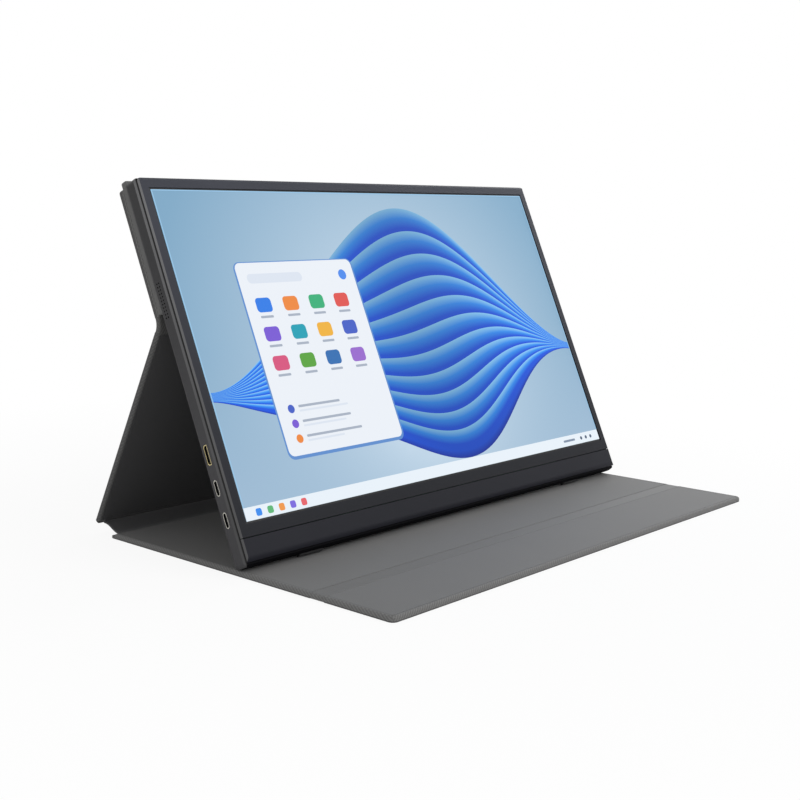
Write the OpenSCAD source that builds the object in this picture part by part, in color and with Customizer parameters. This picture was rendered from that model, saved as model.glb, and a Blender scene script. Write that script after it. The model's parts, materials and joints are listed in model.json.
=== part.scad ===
// Portable 15.6 inch monitor held upright by its folding cover.
// +X runs along the screen's width, +Y from the viewer to the back, +Z up.
// The origin lies on the table, under the middle of the opened base panel.

/* [Display] */
// Width of the lit area
active_w = 344.2; // [300:0.2:360]
// Height of the lit area
active_h = 193.6; // [160:0.2:220]
// Border between the lit area and each side of the monitor
bezel_side = 7.4; // [5:0.1:15]
// Border above the lit area
bezel_top = 7.2; // [6:0.1:20]
// Border under the lit area, down to the seam of the chin bar
bezel_low = 8.2; // [7:0.1:14]
// Height of the chin bar under that seam
chin_h = 15.8; // [13:0.2:24]
// Black edge of the glass that shows round the lit area
black_edge = 1.1; // [0.5:0.1:2]

/* [Monitor body] */
// Depth from the face of the glass to the flat of the back
body_t = 12.6; // [12.2:0.1:18]
// How far the front frame stands proud of the glass
frame_rise = 0.6; // [0.3:0.1:1.2]
// Depth of the front frame's rim behind the face of the glass
frame_rim = 0.4; // [0.3:0.1:0.8]
// Width of the dark seam between front frame and rear housing
seam_w = 0.9; // [0.6:0.1:1]
// Wall of the rear housing
wall = 1.6; // [1.2:0.1:1.8]
// Radius of the housing's corners, seen from the front
corner_r = 3; // [2:0.5:8]
// Radius of the edges round the back of the housing
back_r = 3; // [2:0.5:4]
// Radius of the roll under the chin, shared by chin bar and housing
roll_r = 6; // [4:0.5:7]
// How far the housing's top rises behind the front frame
top_crown = 1; // [0.2:0.1:2]
// Height of the soft bevel on the front frame's outer edge
frame_bevel = 0.8; // [0.3:0.1:0.9]
// Width of that bevel, seen from the front
frame_bevel_w = 1.35; // [1:0.05:4]

/* [Sockets and sound] */
// Distance of the socket row from the face of the glass
port_w = 7.4; // [7.1:0.1:7.6]
// Height of the video socket above the lit area's lower edge
video_v = 40.8; // [36:0.2:50]
// Height of the upper cable socket
usb_upper_v = 22; // [18:0.2:26]
// Height of the lower cable socket
usb_lower_v = 3.8; // [0:0.2:8]
// Height of the headphone socket on the right side
jack_v = 12; // [8:0.5:18]
// Radius of the headphone socket's bore
jack_r = 1.8; // [1.6:0.05:2]
// Depth of the headphone socket's bore
jack_depth = 14; // [12:0.5:16]
// Height of the middle of the sound holes
sound_v = 130.4; // [100:0.2:150]
// Number of sound holes in each of the two rows
sound_count = 11; // [5:1:15]
// Spacing of the sound holes up the side
sound_pitch = 2; // [1.6:0.1:3]
// Diameter of a sound hole
sound_d = 1; // [0.8:0.1:1.4]

/* [Buttons] */
// Height of the power button on the right side
power_v = 78; // [72:1:90]
// Length of the power button
power_len = 10; // [8:0.5:14]
// Height of the menu rocker on the right side
menu_v = 52; // [46:1:60]
// Length of the menu rocker
menu_len = 18; // [14:0.5:22]
// How far the buttons stand out of the side
button_out = 0.6; // [0.3:0.1:1]
// Travel of the power button
button_travel = 0.5; // [0.3:0.1:0.8]

/* [Cover panels] */
// How much narrower the cover is than the monitor
cover_short = 3; // [0:0.5:8]
// Depth of the opened base, from its rear edge to the flap's front edge
base_depth = 227; // [200:1:250]
// Thickness of each stiff panel
panel_t = 3.4; // [3:0.1:5]
// Thickness of the cover material where it folds
crease_t = 1.4; // [1:0.1:1.6]
// Width of the soft fold between two panels
crease_w = 10; // [7:0.5:14]
// Middle of the fold that parts the front flap from the base
flap_fold_y = -61; // [-80:0.5:-50]
// Radius of the flap's front corners
flap_corner_r = 5; // [3:0.5:14]
// Radius of the other panel corners
panel_corner_r = 3; // [1:0.5:8]
// Thickness of the outer leather
skin_t = 0.6; // [0.4:0.1:1]
// Thickness of the soft lining
lining_t = 0.5; // [0.3:0.1:0.8]
// Width of the leather turned over each panel's rim
rim_w = 2.2; // [1.6:0.1:4]

/* [Stand pose] */
// How far the screen leans back from upright, in degrees
recline = 24; // [15:0.5:35]
// Where the feet stand on the base, measured from the base's middle
rest_y = -3.94; // [-30:0.02:20]
// Height of the cover's rear fold above the lit area's lower edge
fold_v = 119.5; // [105:0.5:135]
// Height of the upper panel above that fold
upper_h = 81.8; // [60:0.1:90]
// How far the magnetic pad rises above the upper panel
pad_over = 3.3; // [0:0.1:6]
// Length of the soft spine strip, from fold to fold
spine_len = 16.6; // [12:0.2:20]
// Slope of the spine strip above the table, in degrees
spine_lift = 15; // [5:0.5:25]
// How much narrower the spine strip is than the panels, on each side
spine_inset = 4; // [3:0.5:12]
// Thickness of the magnetic pad between monitor and cover
pad_t = 4.2; // [2:0.1:6]

/* [Feet] */
// Length of each rubber foot
foot_len = 19.2; // [12:0.2:30]
// Width of each rubber foot
foot_w = 3.6; // [2.4:0.2:4.4]
// How far the feet stand below the housing
foot_out = 1; // [0.6:0.1:1.6]
// Distance of each foot's middle from the monitor's middle
foot_x = 128.5; // [90:0.5:150]

/* [Hidden] */
$fn = 48;

// Fits
run_gap = 0.3;       // between pieces that swing past each other
cap_gap = 0.2;       // round a button in its opening
pin_gap = 0.05;      // round the rocker's pin
stand_gap = 0.05;    // under the feet

// Overall outline of the monitor; v is measured up from the lit area's lower edge
half_w = active_w / 2 + bezel_side;
cover_w = 2 * half_w - cover_short;
top_v = active_h + bezel_top;
seam_v = -bezel_low;
low_v = seam_v - chin_h;
housing_front = frame_rim + seam_w;
inner_back = body_t - wall;
side_bevel = 0.6;      // soft bevel that lightens the housing's front edge
side_bevel_w = 2.1;
low_back_r = back_r + 1.5;
crown_w = 4;           // depth over which the top rises
seam_in = 0.9;         // how far the seam's floor lies inside the outline

// Display stack, each layer measured back from the face of the glass
cell_t = 1.3;
sheet_t = 0.5;
guide_t = 1.4;
tray_t = 0.4;
cell_over = 3;       // glass beyond the lit area
guide_back = cell_t + sheet_t + guide_t;
tray_back = guide_back + tray_t;
led_h = 1.8;
tray_gap = 0.2;
tray_half_w = active_w / 2 + cell_over + tray_gap + tray_t;
tray_low = -cell_over - led_h - tray_gap - tray_t;
tray_top = active_h + cell_over + tray_gap + tray_t;
window_half_w = active_w / 2 + black_edge;

// Boards
pcb_t = 1.2;
usb_h = 3.2;
pcb_front = port_w + usb_h / 2;
pcb_back = pcb_front + pcb_t;
wall_gap = 0.3;
main_x0 = -(half_w - wall - wall_gap);
main_x1 = main_x0 + 107.6;
main_v0 = -17;
main_v1 = 62;
screw_r = 1;
screw_head_r = 1.9;
screw_head_h = 1.1;
boss_r = 2.6;
screw_in = 5;
main_screws = [for (x = [main_x0 + 14, main_x1 - screw_in], v = [main_v0 + screw_in, main_v1 - screw_in]) [x, v]];
button_x0 = half_w - 22;
button_x1 = half_w - 7;
button_v0 = menu_v - menu_len / 2 - 8;
button_v1 = power_v + power_len / 2 + 8;
button_screws = [for (v = [button_v0 + 3, button_v1 - 3]) [button_x0 + 3.5, v]];

// Buttons
cap_h = 2.4;
flange_t = 0.8;
flange_over = 1;
switch_top = half_w - wall - flange_t - 2.2;
rocker_pin_r = 0.6;
rocker_pin_x = half_w - wall - 2.2;
rocker_ear = 2.4;
rocker_deep = 3;
rocker_gap = 0.4;
rocker_room = 0.5;

// Sound
speaker_h = 30;
speaker_d = 14;
speaker_t = 6;
sound_row = 1.8;

// Feet
foot_root = 0.7;
foot_mid_w = 6.1;

// Place of the screen on the base: the feet's rear edge stands on the base lining
foot_low = -low_v + foot_out;
foot_back = foot_mid_w + foot_w / 2;
screen_y = rest_y + foot_low * sin(recline) - foot_back * cos(recline);
screen_z = panel_t + stand_gap + foot_low * cos(recline) + foot_back * sin(recline);
function screen_point(v, w) = [
    screen_y + v * sin(recline) + w * cos(recline),
    screen_z + v * cos(recline) - w * sin(recline)
];

// Folds of the cover, as points in the side view
cover_back = body_t + pad_t + panel_t;
spine_rise = panel_t - 0.2 - crease_t / 2;
lip = 1.2;
lip_t = spine_rise - crease_t / 2 - run_gap;
base_rear = base_depth / 2;
base_front = -base_depth / 2;
lower_fold = [base_rear - lip, spine_rise];
upper_fold = lower_fold + spine_len * [cos(spine_lift), sin(spine_lift)];
back_fold = screen_point(fold_v, cover_back - panel_t / 2);
leg_span = back_fold - upper_fold;
leg_dist = norm(leg_span);
leg_skew = asin((spine_rise - panel_t / 2) / leg_dist);
leg_angle = atan2(leg_span[1], leg_span[0]) + leg_skew;
leg_len = leg_dist * cos(leg_skew);
leg_start = run_gap + crease_t / 2 + 0.4;
crease_half = crease_w / 2;
bead_gap = crease_t / 2 + run_gap;
rim_bevel = 1;
edge_bevel = 0.5;
crease_inset = 1.5;
magnet_t = 1.5;

module on_screen() { translate([0, screen_y, screen_z]) rotate([-recline, 0, 0]) children(); }
module on_upper() { on_screen() translate([0, cover_back, fold_v]) rotate([90, 0, 0]) children(); }
module on_leg() {
    translate([0, upper_fold[0], upper_fold[1]]) rotate([leg_angle, 0, 0])
        translate([0, 0, -spine_rise]) children();
}
module on_spine() { translate([0, lower_fold[0], lower_fold[1]]) rotate([spine_lift, 0, 0]) children(); }

// Extrusions of a flat outline along each axis
module along_x(length) { rotate([90, 0, 90]) linear_extrude(length, center = true) children(); }
module along_y(y0, y1) { translate([0, y1, 0]) rotate([90, 0, 0]) linear_extrude(y1 - y0) children(); }
module block(x, y, z) { translate([x[0], y[0], z[0]]) cube([x[1] - x[0], y[1] - y[0], z[1] - z[0]]); }
module mirror_x() { children(); mirror([1, 0, 0]) children(); }

// Removes what lies outside a rounded corner; side points away from the body
module round_off(corner, r, side) {
    over = 1;
    difference() {
        translate([corner[0] - (side[0] > 0 ? r : over), corner[1] - (side[1] > 0 ? r : over)])
            square(r + over);
        translate([corner[0] - side[0] * r, corner[1] - side[1] * r]) circle(r);
    }
}
module rounded_rect(p0, p1, r_low, r_high) {
    difference() {
        translate(p0) square(p1 - p0);
        round_off(p0, r_low, [-1, -1]);
        round_off([p1[0], p0[1]], r_low, [1, -1]);
        round_off([p0[0], p1[1]], r_high, [-1, 1]);
        round_off(p1, r_high, [1, 1]);
    }
}
// Outline of a slot with round ends, lying along the second axis
module slot(length, width) {
    square([width, length - width], center = true);
    for (s = [-1, 1]) translate([0, s * (length - width) / 2]) circle(d = width);
}

// ---------------------------------------------------------------- monitor body

// The housing's form, shrunk by inset on all sides, from depth w0 to w1
module body_form(inset, w0, w1) {
    x1 = half_w - inset;
    v0 = low_v + inset;
    v1 = top_v + top_crown - inset;
    r = back_r - inset;
    roll = roll_r - inset;
    bevel_end = housing_front + side_bevel_w;
    intersection() {
        along_x(2 * x1) difference() {
            polygon([[w0, v0], [w1, v0], [w1, v1], [housing_front + crown_w, v1], [w0, v1 - top_crown]]);
            round_off([w1, v0], low_back_r - inset, [1, -1]);
            round_off([w1, v1], r, [1, 1]);
            round_off([roll_r - frame_rise - roll, v0], roll, [-1, -1]);
        }
        translate([0, 0, v0]) linear_extrude(v1 - v0) difference() {
            polygon([[-x1 + side_bevel, w0], [x1 - side_bevel, w0], [x1, bevel_end], [x1, w1], [-x1, w1], [-x1, bevel_end]]);
            round_off([-x1, w1], r, [-1, 1]);
            round_off([x1, w1], r, [1, 1]);
        }
        along_y(w0, w1) rounded_rect([-x1, v0], [x1, v1], corner_r - inset / 2, corner_r - inset / 2);
    }
}
module side_slot(v, length, width) {
    translate([0, port_w, v]) rotate([90, 0, 90]) linear_extrude(2 * wall + 6, center = true) slot(length, width);
}
module sound_holes() {
    for (row = [-1, 1], i = [0:sound_count - 1])
        translate([0, port_w + row * sound_row / 2, sound_v + (i - (sound_count - 1) / 2) * sound_pitch])
            rotate([0, 90, 0]) cylinder(h = 2 * wall + 2, d = sound_d, center = true, $fn = 24);
}
module boss(x, v, top) {
    translate([x, top, v]) rotate([-90, 0, 0]) cylinder(h = inner_back - top + 0.2, r = boss_r);
}
module rib(x, v0, v1) { block([x - 0.6, x + 0.6], [tray_back + wall_gap, inner_back + 0.2], [v0, v1]); }

rib_step = half_w / 6;
module rear_housing() color("#3b3b40") on_screen() {
    difference() {
        union() {
            difference() {
                body_form(0, housing_front, body_t);
                body_form(wall, housing_front - 1, inner_back);
            }
            intersection() {
                body_form(wall / 2, housing_front, body_t - wall / 2);
                union() {
                    for (p = main_screws) boss(p[0], p[1], pcb_back);
                    for (p = button_screws) boss(p[0], p[1], pcb_back);
                    for (x = [-rib_step, rib_step]) rib(x, low_v + 3, top_v - 3);
                    for (k = [-5, -3, 3, 5]) rib(k * rib_step, sound_v + speaker_h / 2 + 8, top_v - 3);
                    for (k = [3, 4]) rib(k * rib_step, low_v + 3, button_v0 - 10);
                    rocker_bearings();
                    jack_pad();
                }
            }
        }
        translate([-half_w, 0, 0]) {
            side_slot(usb_upper_v, usb_len + cap_gap, usb_h + cap_gap);
            side_slot(usb_lower_v, usb_len + cap_gap, usb_h + cap_gap);
            translate([0, port_w, video_v]) rotate([90, 0, 90])
                linear_extrude(2 * wall + 6, center = true) video_outline(cap_gap / 2);
            sound_holes();
        }
        translate([half_w, 0, 0]) {
            sound_holes();
            side_slot(power_v, power_len + 2 * cap_gap, cap_h + 2 * cap_gap);
            side_slot(menu_v, menu_len + 2 * rocker_gap, cap_h + 2 * cap_gap);
            translate([0, port_w, jack_v]) rotate([0, 90, 0])
                cylinder(h = 2 * wall + 1, r = jack_nose_r + cap_gap / 2, center = true);
        }
        for (p = concat(main_screws, button_screws))
            translate([p[0], pcb_back - 0.1, p[1]]) rotate([-90, 0, 0]) cylinder(h = screw_bite + 0.3, r = screw_r);
        rocker_pin(rocker_pin_r + pin_gap, 0.2);
        for (s = [-1, 1]) foot_solid(s, 0);
    }
}

// The rim of the front frame, shared with the chin bar: outline seen from the front
module front_form(v0, v1) {
    x1 = half_w;
    front = -frame_rise;
    intersection() {
        along_y(front, frame_rim) rounded_rect([-x1, low_v], [x1, top_v], corner_r, corner_r);
        translate([0, 0, v0]) linear_extrude(v1 - v0) polygon([
            [-x1, frame_rim], [-x1, front + frame_bevel], [-x1 + frame_bevel_w, front],
            [x1 - frame_bevel_w, front], [x1, front + frame_bevel], [x1, frame_rim]
        ]);
        along_x(2 * x1 + 2) difference() {
            polygon([
                [front, low_v - 1], [front, top_v - frame_bevel_w], [front + frame_bevel, top_v],
                [frame_rim, top_v], [frame_rim, low_v - 1]
            ]);
            round_off([front, low_v], roll_r, [-1, -1]);
        }
    }
}
chin_gap = 0.3;
// Height above the lowest line at which the roll reaches the rim's rear face
roll_drop = roll_r - sqrt(roll_r * roll_r - pow(roll_r - frame_rise - frame_rim, 2));
module seam_floor(v0, v1) {
    block([-half_w + seam_in, half_w - seam_in], [frame_rim - 0.1, housing_front], [v0, v1]);
}
module front_frame() color("#40424b") on_screen() difference() {
    union() {
        front_form(seam_v, top_v);
        seam_floor(seam_v, top_v - seam_in);
    }
    block([-window_half_w, window_half_w], [-frame_rise - 1, 1], [-black_edge, active_h + black_edge]);
    block([-tray_half_w - tray_gap, tray_half_w + tray_gap], [0, housing_front + 1], [tray_low - tray_gap, tray_top + tray_gap]);
}
module chin_bar() color("#33343c") on_screen() {
    difference() {
        front_form(low_v, seam_v - chin_gap);
        along_x(2 * half_w + 2) polygon([
            [-frame_rise - 1, seam_v - chin_gap + 0.2], [-frame_rise - 1, seam_v - chin_gap - 1],
            [-frame_rise + 0.5, seam_v - chin_gap + 0.2]
        ]);
    }
    seam_floor(low_v + roll_drop + seam_in, seam_v - chin_gap);
}

// ---------------------------------------------------------------- display stack

module cell_block(w0, w1, v0) { block([-active_w / 2 - cell_over, active_w / 2 + cell_over], [w0, w1], [v0, active_h + cell_over]); }
module lcd_cell() color("#7aa3c4") on_screen() cell_block(0, cell_t, -cell_over);
module optical_sheets() color("white") on_screen() cell_block(cell_t, cell_t + sheet_t, -cell_over);
module light_guide() color("#e8f2f4") on_screen() cell_block(cell_t + sheet_t, guide_back, -cell_over);
module led_strip() color("#f4e9a0") on_screen()
    block([-active_w / 2, active_w / 2], [cell_t + sheet_t, guide_back], [-cell_over - led_h, -cell_over]);
module backlight_tray() color("#a8abb0") on_screen() difference() {
    block([-tray_half_w, tray_half_w], [0, tray_back], [tray_low, tray_top]);
    block([-tray_half_w + tray_t, tray_half_w - tray_t], [-1, guide_back], [tray_low + tray_t, tray_top - tray_t]);
}

// Long thin board that feeds the glass, under the tray
panel_w0 = 2;
panel_w1 = panel_w0 + 0.8;
driver_t = 1;
panel_half = active_w / 3;
board_low = low_v + wall + roll_r / 2;
cable_x = main_x1 - 22;
cable_half = 4.5;
module panel_board() color("#20603c") on_screen() {
    block([-panel_half, panel_half], [panel_w0, panel_w1], [board_low, tray_low]);
    for (x = [cable_x, -panel_half / 4, panel_half / 4, -cable_x])
        block([x - 8, x + 8], [panel_w1, panel_w1 + driver_t], [board_low + 1, tray_low - 5]);
}
module display_cable() color("#c8a050") on_screen() {
    thick = 0.3;
    start = panel_w1 + driver_t;
    rise = pcb_front - start - 1.6;
    v0 = board_low + 2;
    translate([cable_x, 0, 0]) along_x(2 * cable_half) polygon([
        [start, v0], [start + 1.6, v0], [pcb_front - thick, v0 + rise], [pcb_front - thick, v0 + rise + 4],
        [pcb_front, v0 + rise + 4], [pcb_front, v0 + rise - thick], [start + 1.6, v0 - thick], [start, v0 - thick]
    ]);
}

// ---------------------------------------------------------------- electronics

screw_bite = inner_back - pcb_back + wall / 2;
module drill(points, y0, r) {
    for (p = points) translate([p[0], y0, p[1]]) rotate([-90, 0, 0]) cylinder(h = pcb_t + 2, r = r);
}
module main_board() color("#1f6b40") on_screen() {
    difference() {
        block([main_x0, main_x1], [pcb_front, pcb_back], [main_v0, main_v1]);
        drill(main_screws, pcb_front - 1, screw_r + 0.1);
    }
    chip_h = 1.2;
    for (c = [[38, 22, 14], [66, 44, 9], [66, 14, 9], [86, 34, 7]])
        translate([main_x0, 0, 0]) block([c[0] - c[2] / 2, c[0] + c[2] / 2], [pcb_front - chip_h, pcb_front], [c[1] - c[2] / 2, c[1] + c[2] / 2]);
    for (i = [0:4]) translate([main_x0 + 26 + i * 9, pcb_front, 54]) rotate([90, 0, 0]) cylinder(h = 1.8, r = 2);
}
module screw(p) {
    translate([p[0], pcb_front - screw_head_h, p[1]]) rotate([-90, 0, 0]) difference() {
        union() {
            cylinder(h = screw_head_h, r = screw_head_r);
            cylinder(h = screw_head_h + pcb_t + screw_bite, r = screw_r);
        }
        translate([0, 0, -1]) cylinder(h = 1.6, r = 0.9, $fn = 6);
    }
}
module board_screws() color("silver") on_screen() for (p = concat(main_screws, button_screws)) screw(p);

// Cable sockets, open to the viewer's left
usb_len = 8.9;
usb_depth = 7.4;
shell_t = 0.35;
socket_back = 0.15;
module usb_socket(v) {
    translate([-half_w + socket_back, port_w, v]) {
        rotate([90, 0, 90]) difference() {
            linear_extrude(usb_depth) slot(usb_len, usb_h);
            translate([0, 0, -1]) linear_extrude(usb_depth - 0.5) slot(usb_len - 2 * shell_t, usb_h - 2 * shell_t);
        }
        translate([0.7, -0.35, -3.3]) cube([usb_depth - 1, 0.7, 6.6]);
    }
}
module usb_c_socket_upper() color("#c9c4b6") on_screen() usb_socket(usb_upper_v);
module usb_c_socket_lower() color("#c9c4b6") on_screen() usb_socket(usb_lower_v);

video_len = 11.4;
video_h = 3.2;
video_cut = 1;
// Video socket outline: the side away from the viewer has cut corners
module video_outline(grow) {
    a = video_len / 2 + grow;
    b = video_h / 2 + grow;
    polygon([[-b, -a], [b - video_cut, -a], [b, -a + video_cut], [b, a - video_cut], [b - video_cut, a], [-b, a]]);
}
module hdmi_socket() color("#cdb987") on_screen() translate([-half_w + socket_back, port_w, video_v]) {
    depth = 7.5;
    rotate([90, 0, 90]) difference() {
        linear_extrude(depth) video_outline(0);
        translate([0, 0, -1]) linear_extrude(depth - 0.5) video_outline(-shell_t);
    }
    translate([0.8, -0.4, -4.3]) cube([depth - 1.2, 0.8, 8.6]);
}

jack_nose_r = 2.7;
jack_len = 16;
jack_half = 2.9;
module jack_pad() {
    block([half_w - jack_len + 2, half_w - wall - 3], [port_w + jack_half, inner_back + 0.2], [jack_v - 2.5, jack_v + 2.5]);
}
module headphone_jack() color("#2a2a2e") on_screen() translate([half_w, port_w, jack_v]) difference() {
    union() {
        rotate([0, -90, 0]) translate([0, 0, socket_back]) cylinder(h = wall + 1, r = jack_nose_r);
        block([-jack_len, -wall - wall_gap], [-jack_half, jack_half], [-jack_half, jack_half]);
    }
    rotate([0, -90, 0]) translate([0, 0, -1]) cylinder(h = jack_depth + socket_back + 1, r = jack_r);
}

module button_board() color("#1f6b40") on_screen() {
    difference() {
        block([button_x0, button_x1], [pcb_front, pcb_back], [button_v0, button_v1]);
        drill(button_screws, pcb_front - 1, screw_r + 0.1);
    }
    key_base = switch_top - 1;
    for (v = [power_v, menu_v - menu_len / 2 + 3, menu_v + menu_len / 2 - 3]) {
        block([button_x1 - 4, key_base], [pcb_front - 3.6, pcb_front], [v - 2.2, v + 2.2]);
        key_top = v == power_v ? switch_top : half_w - wall - rocker_deep - rocker_room;
        translate([key_base - 0.1, port_w, v]) rotate([0, 90, 0]) cylinder(h = key_top - key_base + 0.1, r = 0.8);
    }
}

module power_button() color("#2b2b30") on_screen() translate([half_w, port_w, power_v]) {
    inner = -wall - 0.05;
    rotate([90, 0, 90]) {
        translate([0, 0, inner - 0.01]) linear_extrude(button_out - inner + 0.01) slot(power_len, cap_h);
        translate([0, 0, inner - flange_t]) linear_extrude(flange_t) slot(power_len + 2 * flange_over, cap_h + 2 * flange_over);
        translate([0, 0, switch_top - half_w + button_travel + 0.1])
            cylinder(h = inner - flange_t - (switch_top - half_w + button_travel + 0.1), r = 1.2);
    }
}

// Bearings of the menu rocker: one in a shelf on the side wall, one in a post on the back
module rocker_pin(r, extra) {
    translate([rocker_pin_x, port_w - rocker_ear - extra, menu_v]) rotate([-90, 0, 0])
        cylinder(h = 2 * rocker_ear + 2 * extra, r = r, $fn = 32);
}
module rocker_bearings() {
    ear0 = port_w - rocker_ear;
    ear1 = port_w + rocker_ear;
    block([rocker_pin_x - 2, half_w - wall / 2], [ear0 - 0.6, port_w - cap_h / 2 - 0.5], [menu_v - 2, menu_v + 2]);
    translate([rocker_pin_x, port_w + cap_h / 2 + 0.5, menu_v]) rotate([-90, 0, 0])
        cylinder(h = inner_back + 0.2 - port_w - cap_h / 2 - 0.5, r = 1.8);
}
module menu_rocker() color("#2b2b30") on_screen() {
    translate([half_w - wall - rocker_deep, port_w, menu_v]) rotate([90, 0, 90])
        linear_extrude(button_out + wall + rocker_deep) slot(menu_len, cap_h);
    rocker_pin(rocker_pin_r, 0);
}

module speaker(side) {
    x1 = half_w - wall - wall_gap;
    x0 = x1 - speaker_d;
    v0 = sound_v - speaker_h / 2;
    cut = back_r - wall;
    mirror([side < 0 ? 1 : 0, 0, 0]) difference() {
        translate([0, 0, v0]) linear_extrude(speaker_h) polygon([
            [x0, inner_back - speaker_t], [x1, inner_back - speaker_t], [x1, inner_back - cut],
            [x1 - cut, inner_back], [x0, inner_back]
        ]);
        block([x1 - 2.5, x1 + 1], [port_w - sound_row, port_w + sound_row], [v0 + 3, v0 + speaker_h - 3]);
    }
}
module speaker_left() color("#232326") on_screen() speaker(-1);
module speaker_right() color("#232326") on_screen() speaker(1);

magnet_len = half_w / 5;
module housing_magnets() color("#9a9ca0") on_screen()
    for (k = [-4, -2, 2, 4]) translate([k * rib_step, 0, fold_v + upper_h / 2])
        block([-magnet_len / 2, magnet_len / 2], [inner_back - 2, inner_back], [-5, 5]);

module foot_solid(side, grow) {
    translate([side * foot_x, foot_mid_w, low_v - foot_out]) linear_extrude(foot_out + foot_root)
        rotate(90) slot(foot_len + 2 * grow, foot_w + 2 * grow);
}
module rubber_feet() color("#1c1c1e") on_screen() for (s = [-1, 1]) foot_solid(s, 0);

// ---------------------------------------------------------------- cover panels
// A panel lies flat in its own frame: outer leather at z = 0, lining at z = panel_t.

module panel_form(profile, y0, y1, r_front, r_rear) {
    x1 = cover_w / 2;
    intersection() {
        along_x(2 * x1 + 2) polygon(profile);
        translate([0, y1, 0]) rotate([90, 0, 0]) linear_extrude(y1 - y0) polygon([
            [-x1, edge_bevel], [-x1 + edge_bevel, 0], [x1 - edge_bevel, 0], [x1, edge_bevel],
            [x1, panel_t - rim_bevel], [x1 - rim_bevel, panel_t], [-x1 + rim_bevel, panel_t], [-x1, panel_t - rim_bevel]
        ]);
        linear_extrude(panel_t) rounded_rect([-x1, y0], [x1, y1], r_front, r_rear);
    }
}
// Recess for board and lining inside the turned rim
module panel_core(y0, y1, z0, z1) {
    x1 = cover_w / 2 - rim_w;
    block([-x1, x1], [y0 + rim_w, y1 - rim_w], [z0, z1]);
}
module panel_skin(profile, y0, y1, core0, core1, r_front, r_rear) {
    difference() {
        panel_form(profile, y0, y1, r_front, r_rear);
        panel_core(core0, core1, skin_t, panel_t + 1);
    }
}
module panel_board_solid(core0, core1) { panel_core(core0, core1, skin_t, panel_t - lining_t); }
module panel_lining(core0, core1) { panel_core(core0, core1, panel_t - lining_t, panel_t); }

// Ends of a panel's side view, walked from the outer face to the lining
function free_end(y, dir) = [[y - dir * edge_bevel, 0], [y, edge_bevel], [y, panel_t - rim_bevel], [y - dir * rim_bevel, panel_t]];
function fold_end(y, dir) = [[y - dir * edge_bevel, 0], [y, edge_bevel], [y, panel_t - edge_bevel], [y - dir * edge_bevel, panel_t]];
function lip_end(y, dir, step) = [
    [y - dir * edge_bevel, 0], [y, edge_bevel], [y, lip_t], [step, lip_t],
    [step, panel_t - edge_bevel], [step - dir * edge_bevel, panel_t]
];
function reversed(list) = [for (i = [len(list) - 1:-1:0]) list[i]];

// Half of a soft fold: a strip from the panel's end to the fold line, with a round edge there
module crease_strip(end, axis) {
    along_x(cover_w - 2 * crease_inset) translate([0, panel_t / 2]) {
        translate([min(end, axis), -crease_t / 2]) square([abs(axis - end), crease_t]);
        translate([axis, 0]) circle(crease_t / 2, $fn = 24);
    }
}
// The facing half: it stops short of that edge with a thinner tip
module crease_tongue(end, axis) {
    dir = sign(end - axis);
    tip = axis + dir * bead_gap;
    along_x(cover_w - 2 * crease_inset) translate([0, panel_t / 2]) polygon([
        [tip, -0.3], [tip + dir * 0.8, -crease_t / 2], [end, -crease_t / 2],
        [end, crease_t / 2], [tip + dir * 0.8, crease_t / 2], [tip, 0.3]
    ]);
}

base_end = flap_fold_y + crease_half;
base_step = lower_fold[0] - bead_gap;
module base_skin() color("#4a4a4c")
    panel_skin(concat(lip_end(base_rear, 1, base_step), reversed(fold_end(base_end, -1))),
               base_end, base_rear, base_end, base_step, 0.01, panel_corner_r);
module base_board() color("#8d8778") panel_board_solid(base_end, base_step);
module base_lining() color("#6b6b6c") panel_lining(base_end, base_step);
module flap_crease() color("#555557") crease_strip(base_end, flap_fold_y);

flap_end = flap_fold_y - crease_half;
flap_magnet_x = cover_w * 0.31;
flap_magnet_len = cover_w / 6;
module flap_magnet(side) {
    translate([side * flap_magnet_x, 0, 0]) block([-flap_magnet_len / 2, flap_magnet_len / 2], [base_front + rim_w + 3, base_front + rim_w + 11],
          [panel_t - lining_t - magnet_t, panel_t - lining_t]);
}
module flap_skin() color("#4a4a4c") {
    panel_skin(concat(fold_end(flap_end, 1), reversed(free_end(base_front, -1))),
               base_front, flap_end, base_front, flap_end, flap_corner_r, 0.01);
    crease_tongue(flap_end, flap_fold_y);
}
module flap_board() color("#8d8778") difference() {
    panel_board_solid(base_front, flap_end);
    for (s = [-1, 1]) flap_magnet(s);
}
module flap_magnets() color("#9a9ca0") for (s = [-1, 1]) flap_magnet(s);
module flap_lining() color("#6b6b6c") panel_lining(base_front, flap_end);

module spine_half(z0, z1) {
    along_x(cover_w - 2 * spine_inset) intersection() {
        union() {
            translate([0, -crease_t / 2]) square([spine_len, crease_t]);
            for (y = [0, spine_len]) translate([y, 0]) circle(crease_t / 2, $fn = 24);
        }
        translate([-crease_t, z0]) square([spine_len + 2 * crease_t, z1 - z0]);
    }
}
module spine_skin() color("#4a4a4c") on_spine() spine_half(-crease_t / 2, 0.1);
module spine_lining() color("#39383a") on_spine() spine_half(0.1, crease_t / 2);

leg_end = leg_len - crease_half;
module leg_skin() color("#434345") on_leg()
    panel_skin(concat(fold_end(leg_end, 1), reversed(lip_end(-lip, -1, leg_start))),
               -lip, leg_end, leg_start, leg_end, panel_corner_r, 0.01);
module leg_board() color("#8d8778") on_leg() panel_board_solid(leg_start, leg_end);
module leg_lining() color("#39383a") on_leg() panel_lining(leg_start, leg_end);
module back_crease() color("#434345") on_leg() crease_strip(leg_end, leg_len);

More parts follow.
